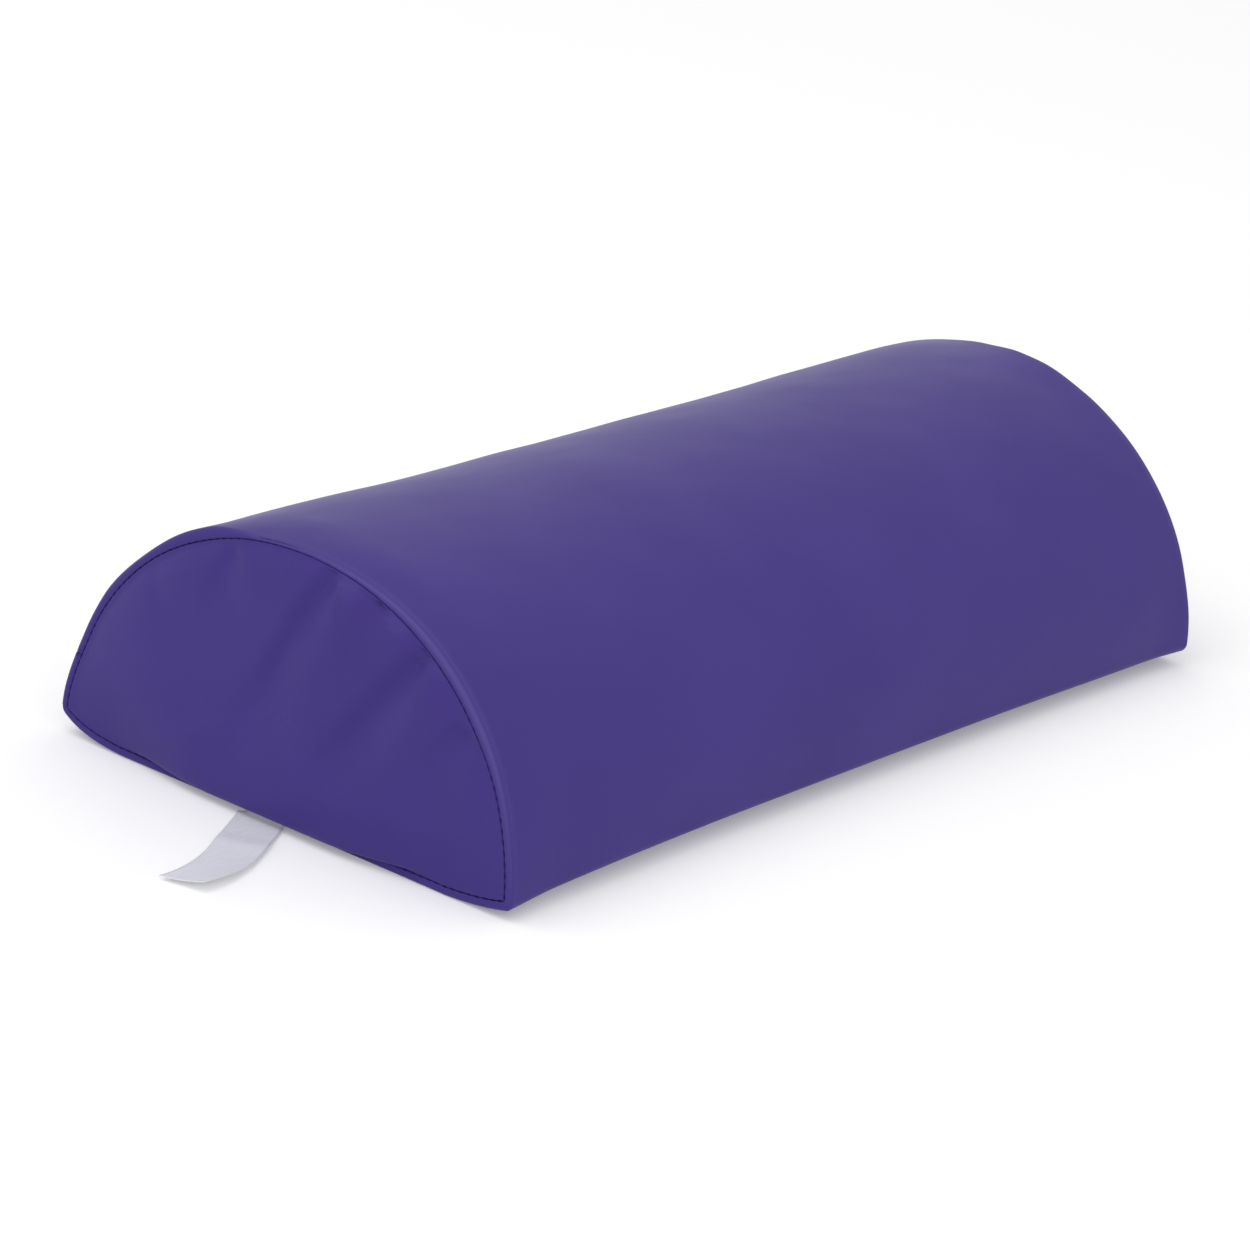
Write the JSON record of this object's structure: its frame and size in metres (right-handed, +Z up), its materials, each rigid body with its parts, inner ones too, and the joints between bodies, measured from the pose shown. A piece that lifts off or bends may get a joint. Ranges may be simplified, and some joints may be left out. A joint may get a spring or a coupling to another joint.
{
  "type": "half-round bolster",
  "caption": "Half-round positioning bolster: a firm foam core in a sewn leatherette cover with stitched end panels, a satin side label and a rear zip.",
  "frame": {"origin": "centre of the flat base that the bolster stands on, midway along its length", "axes": "+X along the length, away from the label end; +Y towards the zip side; +Z up, out of the arched top"},
  "size_m": [0.466, 0.2, 0.1],
  "materials": {
    "foam": "matt open-cell polyurethane foam",
    "leatherette": "smooth purple leatherette, very fine grain, soft satin sheen",
    "satin": "white woven satin ribbon",
    "zip_tape": "matt woven polyester tape",
    "moulded_teeth": "moulded plastic",
    "nickel": "nickel-plated, lightly brushed"
  },
  "bodies": {
    "bolster": {"foam_core": "foam", "cover_sleeve": "leatherette", "end_panel_left": "leatherette", "end_panel_right": "leatherette", "label": "satin", "zip_tape_upper": "zip_tape", "zip_tape_lower": "zip_tape", "zip_teeth_upper": "moulded_teeth", "zip_teeth_lower": "moulded_teeth", "zip_top_stop_upper": "nickel", "zip_top_stop_lower": "nickel", "zip_bottom_stop": "nickel"},
    "slider": {"zip_slider": "nickel"},
    "pull_tab": {"zip_pull_tab": "nickel"}
  },
  "joints": [
    {"name": "zip_slide", "type": "slide", "parent": "bolster", "child": "slider", "axis": [1, 0, 0], "range_m": [0, 0.3215]},
    {"name": "pull_tab_hinge", "type": "hinge", "parent": "slider", "child": "pull_tab", "pos_m": [-0.1609, 0.09625, 0.03083], "axis": [0, -0.2579, 0.9662], "range_deg": [0, 175]}
  ]
}
